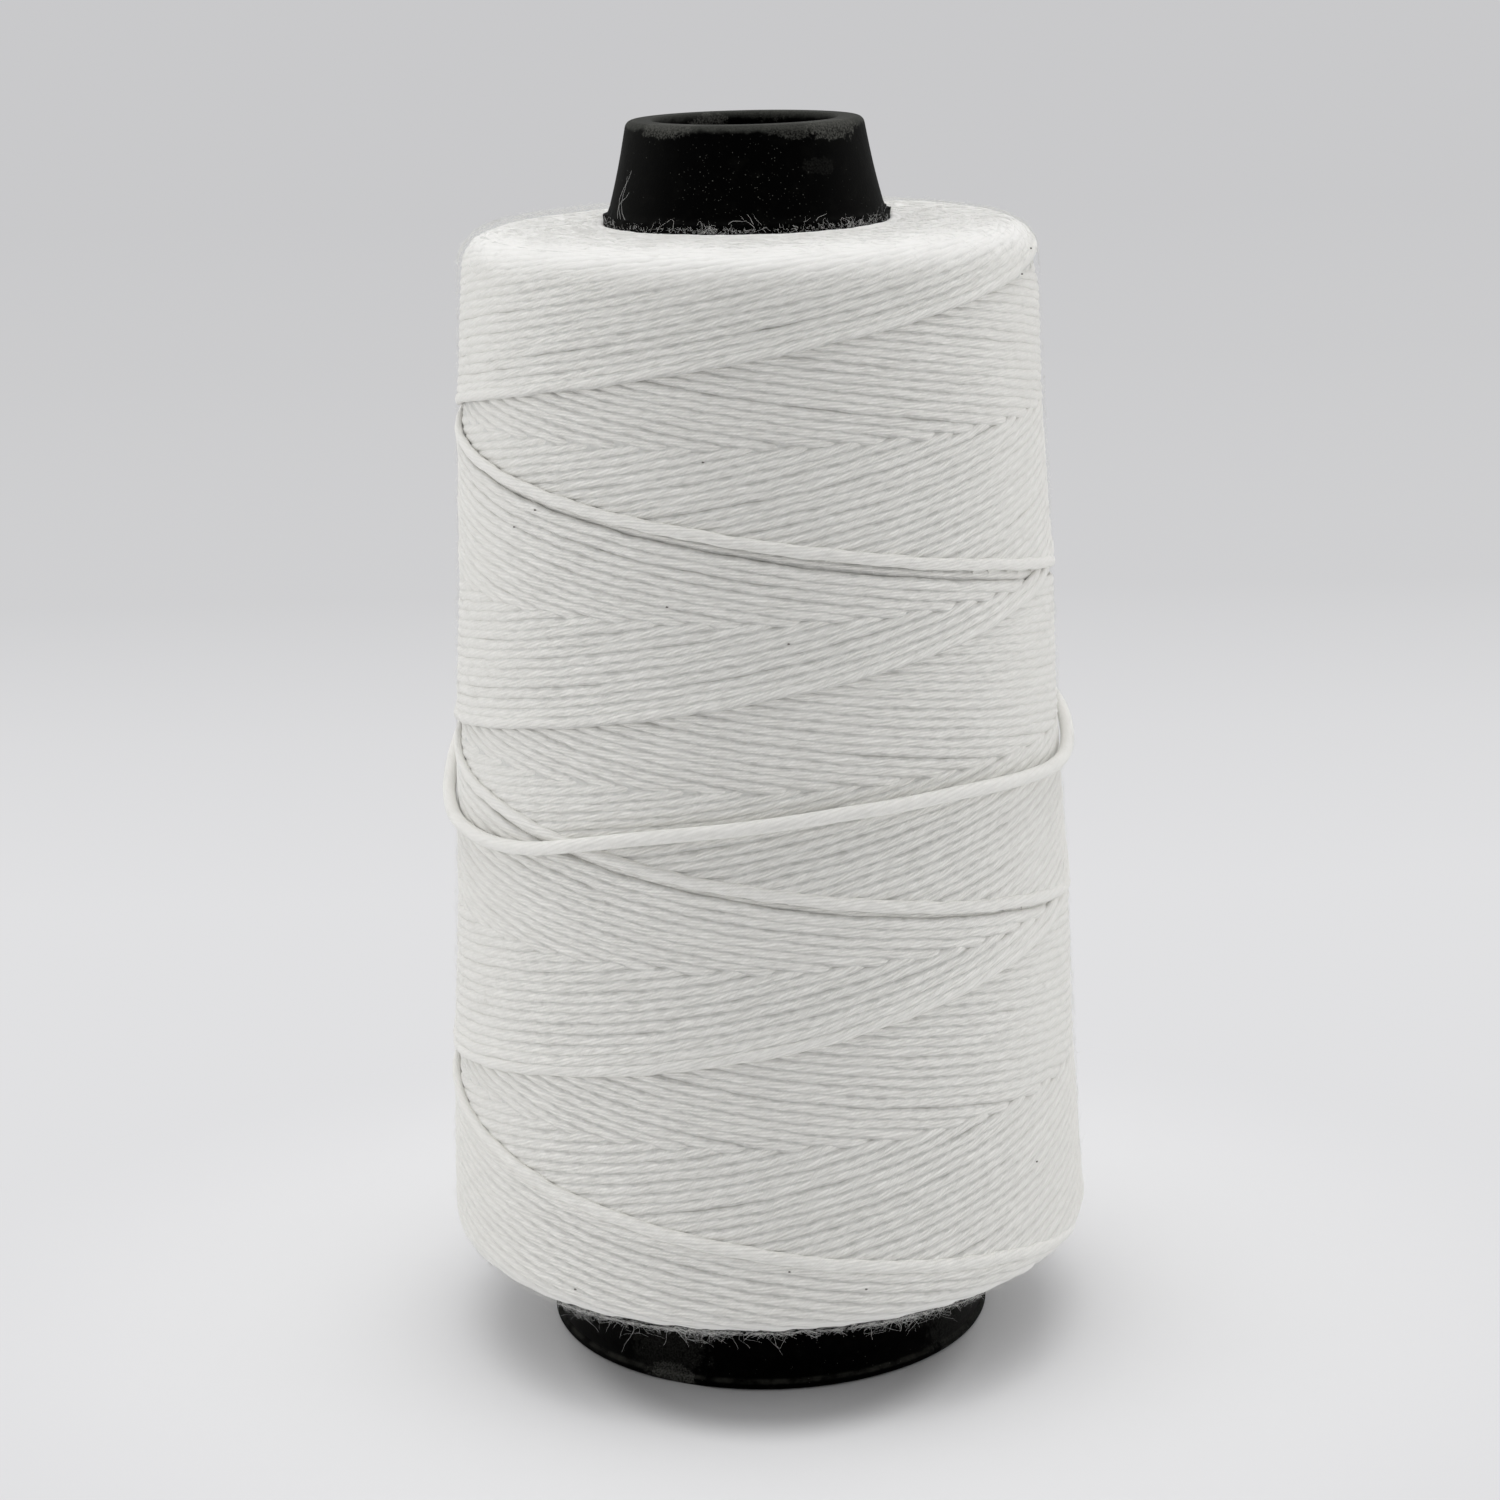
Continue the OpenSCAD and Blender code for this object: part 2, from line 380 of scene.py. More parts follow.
def visible_runs(level):
    """Start and end of each stretch that shows, with one ring more on each side."""
    shows = level > 0.02
    shows[1:] |= shows[:-1].copy()
    shows[:-1] |= shows[1:].copy()
    steps = np.flatnonzero(np.diff(np.concatenate([[0], shows.astype(int), [0]])))
    return [(a, b) for a, b in zip(steps[::2], steps[1::2]) if b - a > 3]


def distance_along(points):
    return np.concatenate([[0], np.cumsum(np.linalg.norm(np.diff(points, axis=0), axis=1))])


def strand(angle, s, raised, width, crowding, rng):
    """One stretch of thread. The more crowded it is, the more of its sides lies in the valleys beside it."""
    points, outward = lay(angle, s, raised)
    return {"points": points, "outward": outward, "width": width, "crowding": np.full(len(points), crowding),
            "along": distance_along(points) + rng.uniform(0, 50)}


def winding_strands(way, trips):
    """The stretches that show of some trips' strands going one way."""
    strands = []
    up = way == "up"
    reach = np.array([SIDE_BOTTOM - 3.6, SIDE_TOP + 8.0])
    first, last = turned(reach)
    rings = int((last - first) * side_radius(60) / RING_STEP)
    for trip in trips:
        rng = np.random.default_rng(trip + (100 if up else 200))
        angle_up = np.linspace(first, last, rings)
        s = height_after(angle_up)
        along = angle_up * side_radius(s)
        newness = math.exp(-trip / 0.7)
        proud, dip = 0, 0
        if up:
            dip = -EDGE_RISE * math.exp(-max(trip - 1, 0) / 1.2)
            angle = UP_START + angle_up - (trip - closed_up(s)) * SHIFT
            level = level_of_up(trip, angle, s)
            if trip == 0:
                level = np.where((s < LAST_HEIGHT + 1) & (angle < LAST_ANGLE), level, 0)
        else:
            angle = DOWN_START - angle_up - trip * SHIFT
            if trip > 0:
                s = s - groove_share(s) * strand_spacing(s)
            level = level_of_down(trip, angle, s)
            proud = NEWEST_PROUD * (1 - 0.9 * np.exp(-((s - LOOSE_CROSSING) / 3.5) ** 2))
            other, newest = age_up(angle, s)
            dip = EDGE_DIP * np.exp(-(STRANDS_PER_PITCH + newest - other) / 0.9)
        s_laid = s + wander(rng, along, 0.07) + rng.normal(0, 0.04)
        raised = NEWEST_HIGH - AGE_DROP * trip + proud * newness - dip
        raised = raised - 0.5 * THREAD - UNDER * (1 - level) + wander(rng, along, 0.04)
        over_top = ease((s - SIDE_TOP + 4) / 6.5)
        raised = raised - TOP_SETTLE * over_top - TOP_SINK * ease((s - SIDE_TOP - 2.5) / 6)
        raised = raised - BOTTOM_SINK * ease((SIDE_BOTTOM - 1.8 - s) / 1.8)
        width = strand_spacing(s) * (OVERLAP - 0.07 * newness + 0.2 * over_top)
        width = width * (1 + wander(rng, along, 0.03))
        crowding = OVERLAP - 0.85 * newness
        for a, b in visible_runs(level):
            strands.append(strand(angle[a:b], s_laid[a:b], raised[a:b], width[a:b], crowding, rng))
    return strands


def groove_strands():
    """The strand that shows at the bottom of the groove beside the newest strand down."""
    rng = np.random.default_rng(7)
    angle_up = np.linspace(turned(30.0), turned(SIDE_TOP + 1), 600)
    s = height_after(angle_up)
    angle = DOWN_START - angle_up
    below = (1 + groove_share(s)) / 2 * strand_spacing(s)
    raised = -0.5 * THREAD - 0.22 + wander(rng, angle_up * 30, 0.05)
    # Its high crowding spreads the painted valley shade over most of it, as painted shade at the bottom of the
    # groove.
    return [strand(angle, s - below, raised, strand_spacing(s) * 1.3, 2.4, rng)]


def level_turns(first, last, spacing, wave, seed):
    """The nearly level turns that lie round an edge and over an end face, where the thread turns back. They
    start under the strands and rise a little where they meet the cone."""
    rng = np.random.default_rng(seed)
    turns = abs(last - first) / spacing
    radius, _, _ = skin(np.linspace(first, last, 50))
    rings = int(turns * TURN * radius.mean() / RING_STEP)
    share = np.linspace(0, 1, rings)
    s_mean = first + (last - first) * share
    radius, _, _ = skin(s_mean)
    angle = turns * TURN * share
    along = np.concatenate([[0], np.cumsum(np.diff(angle) * radius[1:])])
    s = s_mean + wander(rng, along, wave)
    from_edge = np.abs(s_mean - first)
    raised = -0.5 * THREAD + SWELL * ease((19.5 - radius) / 5) - 0.35 * ease(1 - from_edge / 5)
    raised = raised + wander(rng, along, wave / 3)
    return [strand(angle, s, raised, np.full(rings, spacing * 1.7), 0.4, rng)]


# ---- Single fibres: fuzz, lint and hairs ----

def around_axis(angle, radius, height):
    return np.array([radius * math.cos(angle), radius * math.sin(angle), height])


def fibre(root, outward, heading, length, lift, curl, width, rings=6):
    """A hair that leaves its root along a heading. Lift is how far its far end stands off, and curl how far
    its middle swings sideways, both as shares of its length."""
    share = np.linspace(0, 1, rings)[:, None]
    sideways = np.cross(outward, heading)
    swing = np.sin(share * math.pi * 1.5)
    points = root + length * (share * heading + curl * swing * sideways + lift * share ** 1.5 * outward)
    return {"points": points, "outward": np.repeat(outward[None], rings, axis=0),
            "along": share[:, 0] * length, "width": width * (1.1 - 0.6 * share[:, 0]),
            "crowding": np.zeros(rings)}


def fuzz_on_package(low, high, count, seed, lengths, lifts, curl, width):
    """Short fibres that stand out of the thread between two places on the package's outside."""
    rng = np.random.default_rng(seed)
    s = rng.uniform(low, high, count)
    angle = rng.uniform(0, TURN, count)
    roots, outwards = lay(angle, s, rng.uniform(-0.05, 0.12, count))
    fibres = []
    for root, outward, a in zip(roots, outwards, angle):
        level = np.array([-math.sin(a), math.cos(a), 0])
        turn = rng.uniform(-0.9, 0.9) + rng.choice([0, math.pi])
        heading = math.cos(turn) * level + math.sin(turn) * np.cross(outward, level)
        fibres.append(fibre(root, outward, heading, rng.uniform(*lengths), rng.uniform(*lifts) ** 2,
                            rng.uniform(-curl, curl), width * rng.uniform(0.7, 1.3), rings=4))
    return fibres


def fuzz_on_loose_end(points):
    """Short fibres that stand out all round the loose end."""
    rng = np.random.default_rng(41)
    fibres = []
    for _ in range(4500):
        i = rng.integers(1, len(points) - 1)
        forward = points[i + 1] - points[i - 1]
        forward /= np.linalg.norm(forward)
        away = np.cross(forward, rng.normal(0, 1, 3))
        away /= np.linalg.norm(away)
        root = points[i] + away * LOOSE_DIAMETER * 0.46
        heading = forward * rng.choice([-1, 1])
        fibres.append(fibre(root, away, heading, rng.uniform(0.5, 1.4), rng.uniform(0.05, 0.6) ** 2,
                            rng.uniform(-0.4, 0.4), 0.024, rings=4))
    return fibres


def lint_on_ring(radius, height, count, seed, lengths, droop, thick_spots):
    """Loose lint caught on a ring round the cone. It is thicker round the given angles."""
    rng = np.random.default_rng(seed)
    fibres = []
    for i in range(count):
        angle = rng.uniform(0, TURN)
        if i % 3 == 0:
            middle, reach = thick_spots[rng.integers(len(thick_spots))]
            angle = math.radians(middle + rng.normal(0, reach))
        root = around_axis(angle, radius + rng.uniform(0, 0.35), height + rng.normal(0, 0.15))
        outward = around_axis(angle, 1, 0)
        turn = rng.uniform(0, TURN)
        heading = math.cos(turn) * around_axis(angle + math.pi / 2, 1, 0)
        heading = heading + np.array([0, 0, math.sin(turn) + droop])
        heading /= np.linalg.norm(heading)
        length = lengths[0] + (lengths[1] - lengths[0]) * rng.uniform() ** 4
        fibres.append(fibre(root, outward, heading, length, rng.uniform(0, 0.4),
                            rng.uniform(-0.9, 0.9), rng.uniform(0.010, 0.020)))
    return fibres


def long_hairs():
    """The few long hairs that lie against the black plastic."""
    places = [(-152, 13.8, 115.9, 0.15, 5.0), (-148, 13.8, 115.9, -0.2, 4.2), (-155, 13.8, 115.9, 0.5, 3.4),
              (-98, 13.9, 115.7, 1.1, 2.0), (-84, 13.9, 115.7, -1.0, 1.8), (-62, 13.9, 115.7, 0.8, 1.6),
              (-129.6, 22.7, 6.6, 3.2, 4.8), (-66, 23.0, 6.4, 2.6, 2.2), (-58, 23.0, 6.6, 3.7, 2.0),
              (40, 13.9, 115.7, 0.4, 3.2), (120, 13.9, 115.8, -0.6, 3.8), (95, 23.0, 6.4, 2.9, 3.0)]
    hairs = []
    for degrees, radius, height, turn, length in places:
        angle = math.radians(degrees)
        heading = math.sin(turn) * around_axis(angle + math.pi / 2, 1, 0) + np.array([0, 0, math.cos(turn)])
        hairs.append(fibre(around_axis(angle, radius, height), around_axis(angle, 1, 0), heading, length,
                           0.06 if height < 50 else -0.12, 0.15, 0.028))
    return hairs


def specks():
    """Dark motes on the thread, as an angle in degrees and a height."""
    places = [(-35, 22.5), (-125.5, 13.5), (-140, 88.5), (-134, 90.5), (-106, 82.5), (-84.5, 79), (-87, 17.5),
              (-74, 15), (-99, 96), (-16.5, 112.5), (-24.5, 110.5), (12, 66), (37, 30), (61, 91), (84, 47),
              (98, 100), (117, 21), (139, 73), (161, 54), (176, 84)]
    motes = []
    for degrees, height in places:
        angle = math.radians(degrees)
        root, outward = lay(np.array([angle]), np.array([height]), np.array([0.12]))
        level = np.array([-math.sin(angle), math.cos(angle), 0])
        motes.append(fibre(root[0], outward[0], level, 0.22, 0, 0, 0.17))
    return motes


# ---- Yarn: a tube with twisted plies along each strand ----

def strands_carrier(name, strands):
    """A mesh of edges, one chain for each strand, with what the yarn needs to know at each point."""
    points = np.concatenate([s["points"] for s in strands]) * MM
    counts = [len(s["points"]) for s in strands]
    starts = np.concatenate([[0], np.cumsum(counts)[:-1]])
    edges = np.concatenate([
        np.stack([np.arange(a, a + n - 1), np.arange(a + 1, a + n)], axis=1) for a, n in zip(starts, counts)])
    mesh = bpy.data.meshes.new(name)
    mesh.vertices.add(len(points))
    mesh.vertices.foreach_set("co", points.astype(np.float32).ravel())
    mesh.edges.add(len(edges))
    mesh.edges.foreach_set("vertices", edges.astype(np.int32).ravel())
    for key in ("outward", "width", "along", "crowding"):
        values = np.concatenate([s[key] for s in strands]).astype(np.float32)
        kind, field = ("FLOAT_VECTOR", "vector") if key == "outward" else ("FLOAT", "value")
        mesh.attributes.new(key, kind, "POINT").data.foreach_set(field, values.ravel())
    return link(bpy.data.objects.new(name, mesh))


def carried(tree, name, data_type="FLOAT"):
    return add(tree, "GeometryNodeInputNamedAttribute", {"Name": name}, data_type=data_type).outputs[0]


def ply_phase(around, along, lay_length, plies):
    """Counts the plies round the yarn and along it."""
    return times(math_node("ADD", around, math_node("DIVIDE", along, lay_length)), plies)


def yarn_tree():
    """Sweeps a flattened round along each strand and gives it the ridges of its plies."""
    tree, start, end = open_group("Yarn", "GeometryNodeTree", {
        "Geometry": "Geometry", "Width": "Float", "Height": "Float", "Sides": "Int", "Plies": "Float",
        "Lay Length": "Float", "Relief": "Float", "Finish": "Material"}, {"Geometry": "Geometry"})
    value = start.outputs
    curve = add(tree, "GeometryNodeMeshToCurve", {"Mesh": value["Geometry"]})
    turned_out = add(tree, "GeometryNodeSetCurveNormal", {
        "Curve": curve.outputs[0], "Normal": carried(tree, "outward", "FLOAT_VECTOR")}, mode="FREE")
    circle = add(tree, "GeometryNodeCurvePrimitiveCircle", {"Resolution": value["Sides"], "Radius": 0.5})
    flattening = add(tree, "ShaderNodeCombineXYZ", {"X": value["Height"], "Y": value["Width"], "Z": 1.0})
    seam_inside = add(tree, "GeometryNodeTransform", {
        "Geometry": circle.outputs[0], "Rotation": (0, 0, math.pi)})
    profile = add(tree, "GeometryNodeTransform", {
        "Geometry": seam_inside.outputs[0], "Scale": flattening.outputs[0]})
    around = add(tree, "GeometryNodeStoreNamedAttribute", {
        "Geometry": profile.outputs[0], "Name": "around",
        "Value": add(tree, "GeometryNodeSplineParameter").outputs["Factor"]})
    tube = add(tree, "GeometryNodeCurveToMesh", {
        "Curve": turned_out.outputs[0], "Profile Curve": around.outputs[0], "Scale": carried(tree, "width"),
        "Fill Caps": True})
    phase = ply_phase(carried(tree, "around"), carried(tree, "along"), value["Lay Length"], value["Plies"])
    off_middle = minus(math_node("FRACT", phase), 0.5)
    size = times(times(times(off_middle, off_middle), -4.0), value["Relief"])
    offset = add(tree, "ShaderNodeVectorMath", {
        0: add(tree, "GeometryNodeInputNormal").outputs["Normal"], "Scale": size}, operation="SCALE")
    ridged = add(tree, "GeometryNodeSetPosition", {"Geometry": tube.outputs[0], "Offset": offset.outputs[0]})
    smooth = add(tree, "GeometryNodeSetShadeSmooth", {"Geometry": ridged.outputs[0]})
    realized = add(tree, "GeometryNodeRealizeInstances", {"Geometry": smooth.outputs[0]})
    finished = add(tree, "GeometryNodeSetMaterial", {
        "Geometry": realized.outputs[0], "Material": value["Finish"]})
    tree.links.new(finished.outputs[0], end.inputs[0])
    return tree


# ---- Finishes ----

# Dull patches on the plastic: angle in degrees, radius, height, reach, height scale, strength and grey
DULL_PATCHES = [
    (-131, 11.3, 124.7, 3.6, 3.6, 1.0, 0.075),
    (-66, 11.3, 124.6, 3.2, 3.2, 0.8, 0.05),
    (-42, 11.3, 124.6, 3.8, 2.8, 1.0, 0.075),
    (115, 9.1, 124.0, 2.4, 2.4, 1.0, 0.09),
    (70, 11.3, 124.6, 3.0, 3.0, 0.8, 0.05),
    (-56, 12.4, 121.0, 2.2, 2.5, 0.25, 0.03),
    (-118, 22.7, 3.2, 4.6, 1.4, 0.6, 0.022),
    (-116.5, 22.9, 1.0, 2.7, 2.2, 1.0, 0.06),
    (-150, 22.3, 3.4, 8.0, 1.4, 0.2, 0.016),
    (-22, 22.3, 3.2, 9.5, 1.5, 0.8, 0.022),
    (55, 22.7, 2.0, 6.0, 1.4, 0.5, 0.02),
]


def ply_group():
    """The twisted plies of a yarn: how near a place is to a ply's ridge, streaks of single fibres, where the
    strand's crown ends and its valley begins, which the thread paints as shade, and spots of darker painted
    shade in the valley, as notches between the plies."""
    tree, start, end = open_group("Twisted plies", "ShaderNodeTree", {
        "Plies": "Float", "Lay Length": "Float"}, {
        "Ridge": "Float", "Streak": "Float", "Crown": "Float", "Notch": "Float"})
    along, around = stored(tree, "along"), stored(tree, "around")
    phase = ply_phase(around, along, start.outputs["Lay Length"], start.outputs["Plies"])
    unevenness = noise_along(times(phase, 0.45))
    strength = noise_along(times_plus(phase, 0.45, times(along, 1.1)))
    phase = times_plus(unevenness, 0.8, phase)
    off_middle = minus(math_node("FRACT", phase), 0.5)
    ridge = minus(1.0, times(times(off_middle, off_middle), 4.0))
    ridge = times(ridge, spread(strength, 0.3, 0.6, to_low=0.4, smooth=False))
    slant = times_plus(along, 0.05, around)
    streak_place = add(tree, "ShaderNodeCombineXYZ", {"X": times(along, 0.7), "Y": times(slant, 11.0)})
    streak = noise(streak_place.outputs[0], 1.0, 3.0)
    flank = add(tree, "ShaderNodeCombineXYZ", {
        "X": times(along, 0.7), "Y": times(around, 3.0), "Z": 5.0})
    notch_shade = spread(noise(flank.outputs[0], 1.0, 2.0), 0.42, 0.62)
    # The more crowded a strand, the wider its valley reaches, and with it the painted valley shade.
    sideways = math_node("ABSOLUTE", math_node("SINE", times(around, TURN)))
    ragged = times(sideways, stored(tree, "crowding"))
    ragged = times_plus(minus(0.5, ridge), 0.16, ragged)
    ragged = times_plus(minus(streak, 0.5), 0.32, ragged)
    crown = spread(ragged, 1.0, 0.5)
    for name, output in (("Crown", crown), ("Notch", notch_shade), ("Ridge", ridge), ("Streak", streak)):
        tree.links.new(output, end.inputs[name])
    return tree


def thread_material(plies):
    """White sewing thread, painted lighter on its ply crests and end faces and darker between its plies, in
    its valleys and towards its outlines:
    painted light and shade. Its valleys and its ply marks fade where the package turns away from the eye, over
    its edges and on the loose end, because its fuzz hides them there."""
    material, tree, shader = new_finish("white_sewing_thread")
    yarn = add(tree, "ShaderNodeGroup", {}, node_tree=plies)
    yarn.inputs["Plies"].default_value = PLIES
    yarn.inputs["Lay Length"].default_value = LAY_LENGTH
    ridge, streak = yarn.outputs["Ridge"], yarn.outputs["Streak"]
    outward = stored(tree, "outward", "Vector")
    facing = add(tree, "ShaderNodeLayerWeight", {"Blend": 0.5, "Normal": outward}).outputs["Facing"]
    fuzz_and_side_shade = spread(facing, 0.2, 0.75, to_high=0.9)
    steep = math_node("ABSOLUTE", add(tree, "ShaderNodeSeparateXYZ", {0: outward}).outputs["Z"])
    on_end = spread(steep, 0.07, 0.85, to_high=0.85)
    loose = spread(stored(tree, "crowding"), 0.0, 0.8, to_low=0.5, to_high=0.0, smooth=False)
    hidden = math_node("MAXIMUM", math_node("MAXIMUM", fuzz_and_side_shade, on_end), loose)
    # The ply ridges are painted lighter on their crests and darker between them, a painted highlight and
    # painted shade of the ply relief, mixed with the tone of the fibre streaks.
    shade = times_plus(ridge, 0.5, times_plus(streak, 1.3, -0.3), clamp=True)
    colour = mix_colour(shade, (0.61, 0.603, 0.567, 1), (0.985, 0.975, 0.935, 1))
    # Towards the outlines the marks fade to one even tone, as fuzz hides them, and that tone is darker than
    # the thread's mean: painted shade where the package turns away.
    colour = mix_colour(times(fuzz_and_side_shade, 0.8), colour, (0.735, 0.728, 0.695, 1))
    colour = mix_colour(loose, colour, (0.83, 0.822, 0.79, 1))
    # On the end faces and the edge rounds the colour is painted lighter: painted light on the top face, and
    # painted light against the shade under the bottom round.
    colour = mix_colour(on_end, colour, (0.855, 0.848, 0.828, 1))
    # The valleys between strands are painted darker, painted shade in the creases between them, with darker
    # notches painted in spots; this painted shade fades where fuzz hides the valleys.
    valley = mix_colour(yarn.outputs["Notch"], (0.73, 0.723, 0.695, 1), (0.60, 0.595, 0.57, 1))
    valley = mix_colour(hidden, valley, colour)
    colour = mix_colour(yarn.outputs["Crown"], valley, colour)
    height = times_plus(streak, 1.5, ridge)
    height = times(height, minus(1.0, hidden))
    bump = add(tree, "ShaderNodeBump", {"Strength": 1.0, "Distance": 0.045 * MM, "Height": height})
    set_finish(tree, shader, colour, bump, Roughness=0.85, Specular_IOR_Level=0.2, Sheen_Weight=0.15,
               Sheen_Roughness=0.6)
    return material


def fibre_material():
    """Single fibres of the thread, seen against the light."""
    material, tree, shader = new_finish("loose_fibres")
    cloud = noise(own_place(tree), 900.0, 2.0)
    colour = mix_colour(cloud, (0.78, 0.78, 0.76, 1), (0.92, 0.92, 0.90, 1))
    set_finish(tree, shader, colour, Roughness=0.7, Specular_IOR_Level=0.3)
    return material


def speck_material():
    material, tree, shader = new_finish("dark_motes")
    cloud = noise(own_place(tree), 3000.0, 2.0)
    colour = mix_colour(cloud, (0.05, 0.045, 0.04, 1), (0.2, 0.18, 0.16, 1))
    set_finish(tree, shader, colour, Roughness=0.9)
    return material


def body_material():
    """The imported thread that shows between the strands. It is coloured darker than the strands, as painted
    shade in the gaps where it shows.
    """
    material, tree, shader = new_finish("packed_thread")
    cloud = noise(own_place(tree), 2500.0, 3.0)
    colour = mix_colour(cloud, (0.60, 0.60, 0.575, 1), (0.74, 0.74, 0.715, 1))
    bump = add(tree, "ShaderNodeBump", {"Strength": 0.5, "Distance": 0.1 * MM, "Height": cloud})
    set_finish(tree, shader, colour, bump, Roughness=0.9, Specular_IOR_Level=0.2)
    return material


def patch_group():
    """A ragged patch round a centre, flatter or taller by its height's scale. The mask fades at its edge."""
    tree, start, end = open_group("Ragged patch", "ShaderNodeTree", {
        "Centre": "Vector", "Reach": "Float", "Height Scale": "Float"}, {"Mask": "Float"})
    place = own_place(tree)
    off = vector_node("SUBTRACT", place, start.outputs["Centre"])
    stretch = add(tree, "ShaderNodeCombineXYZ", {"X": 1.0, "Y": 1.0, "Z": start.outputs["Height Scale"]})
    distance = vector_node("LENGTH", vector_node("MULTIPLY", off, stretch.outputs[0]))
    share = math_node("DIVIDE", distance, start.outputs["Reach"])
    ragged = minus(noise(place, 1200.0, 8.0, 0.7), 0.5)
    mask = spread(times_plus(ragged, 2.2, share), 1.0, 0.8)
    tree.links.new(mask, end.inputs["Mask"])
    return tree


def patch_mask(tree, patch, degrees, radius, height, reach, height_scale):
    group = add(tree, "ShaderNodeGroup", {}, node_tree=patch)
    group.inputs["Centre"].default_value = around_axis(math.radians(degrees), radius, height) * MM
    group.inputs["Reach"].default_value = reach * MM
    group.inputs["Height Scale"].default_value = height_scale
    return group.outputs["Mask"]


def plastic_material(patch):
    """Black moulded plastic, rubbed grey on its rim, with dull patches, dust and smudges, a painted highlight
    along the foot ring's bead and a painted sheen on the nose's turned-away sides.
    """
    material, tree, shader = new_finish("black_cone_plastic")
    place = own_place(tree)
    height = add(tree, "ShaderNodeSeparateXYZ", {0: place}).outputs["Z"]
    grain = noise(place, 5500.0, 4.0)
    cloud = noise(place, 700.0, 6.0)
    colour = mix_colour(grain, (0.0, 0.0, 0.0, 1), (0.0003, 0.0003, 0.00025, 1))
    smudge = spread(cloud, 0.52, 0.8, smooth=False)
    colour = mix_colour(times(smudge, 0.15), colour, (0.012, 0.012, 0.010, 1))
    scratch = times_plus(grain, 3.0, -1.0, clamp=True)
    rim = spread(times_plus(cloud, 1.0 * MM, height), 124.7 * MM, 125.2 * MM)
    rubbed = times(rim, times_plus(scratch, 0.45, 0.55))
    colour = mix_colour(rubbed, colour, (0.046, 0.047, 0.042, 1))
    # A pale line painted round the foot ring's bead, broken up by the cloud: a painted highlight on its
    # rounded edge.
    off_bead = math_node("ABSOLUTE", minus(height, 1.0 * MM))
    bead = spread(off_bead, 0.3 * MM, 0.1 * MM, smooth=False)
    bead_highlight = times(bead, times_plus(cloud, 3.0, -1.0, clamp=True))
    colour = mix_colour(bead_highlight, colour, (0.02, 0.02, 0.017, 1))
    for *shape, strength, level in DULL_PATCHES:
        share = times(times(patch_mask(tree, patch, *shape), scratch), strength)
        colour = mix_colour(share, colour, grey(level, 0.9))
    dots = add(tree, "ShaderNodeTexVoronoi", {"Vector": place, "Scale": 3500.0})
    draw = add(tree, "ShaderNodeSeparateColor", {0: dots.outputs["Color"]})
    size = times_plus(draw.outputs[0], 0.2, 0.05)
    dot = math_node("LESS_THAN", dots.outputs["Distance"], size)
    dusty = patch_mask(tree, patch, -92, 13.0, 119, 7.0, 1.0)
    chance = times_plus(dusty, 0.5, 0.12)
    dot = times(dot, math_node("LESS_THAN", draw.outputs[1], chance))
    brightness = times_plus(draw.outputs[2], 0.6, 0.1)
    colour = mix_colour(times(dot, brightness), colour, (0.09, 0.09, 0.08, 1))
    # On the nose the colour is painted lighter where its sides turn away from the eye: a painted sheen at
    # grazing angles.
    facing = add(tree, "ShaderNodeLayerWeight", {"Blend": 0.5}).outputs["Facing"]
    on_nose = math_node("GREATER_THAN", height, 110 * MM)
    grazing_sheen = times(spread(facing, 0.1, 0.6), on_nose)
    colour = mix_colour(times(grazing_sheen, 0.07), colour, (0.056, 0.057, 0.052, 1))
    bump = add(tree, "ShaderNodeBump", {
        "Strength": 0.6, "Distance": 0.05 * MM, "Height": times_plus(cloud, 1.5, grain)})
    set_finish(tree, shader, colour, bump, Roughness=0.62, Specular_IOR_Level=0.018, Sheen_Weight=0.022,
               Sheen_Roughness=0.3)
    return material


# ---- Turned pieces ----

def lathe(name, outline, steps):
    """A closed ring turned from a closed outline of (radius, height) points that runs anticlockwise."""
    outline = np.array(outline, float)
    angles = np.arange(steps) * TURN / steps
    points = np.concatenate([
        np.stack([r * np.cos(angles), r * np.sin(angles), np.full(steps, z)], axis=1) for r, z in outline])
    faces = []
    count = len(outline)
    for i in range(count):
        for j in range(steps):
            a, b = i * steps, ((i + 1) % count) * steps
            faces.append((a + j, a + (j + 1) % steps, b + (j + 1) % steps, b + j))
    mesh = bpy.data.meshes.new(name)
    mesh.from_pydata([tuple(p) for p in points * MM], [], faces)
    mesh.polygons.foreach_set("use_smooth", [True] * len(mesh.polygons))
    mesh.update()
    return link(bpy.data.objects.new(name, mesh))


def arc(centre, radius, start, end, count):
    """Points on an arc of an outline, with angles in degrees."""
    angles = np.radians(np.linspace(start, end, count))
    return [(centre[0] + radius * math.cos(a), centre[1] + radius * math.sin(a)) for a in angles]


def body_radius(height):
    foot = FOOT_RADIUS - FOOT_RING_STEP
    return foot + (NECK_RADIUS - foot) * height / LEDGE


def package_body():
    """The inner body of the package, on which the outer layer is wound."""
    top, bottom = PACKAGE_TOP - SKIN_DEPTH, PACKAGE_BOTTOM + SKIN_DEPTH
    lean = math.degrees(LEAN)
    top_centre = (side_radius(top - TOP_ROUND) - LAYER_DEPTH - TOP_ROUND, top - TOP_ROUND)
    bottom_centre = (side_radius(bottom + BOTTOM_ROUND) - LAYER_DEPTH - BOTTOM_ROUND, bottom + BOTTOM_ROUND)
    outline = [(body_radius(bottom) + PACKAGE_FIT, bottom)]
    outline += arc(bottom_centre, BOTTOM_ROUND, -90, lean, 10)
    outline += arc(top_centre, TOP_ROUND, lean, 90, 10)
    outline += [(body_radius(top) + PACKAGE_FIT, top)]
    return lathe("package_body", outline, 160)


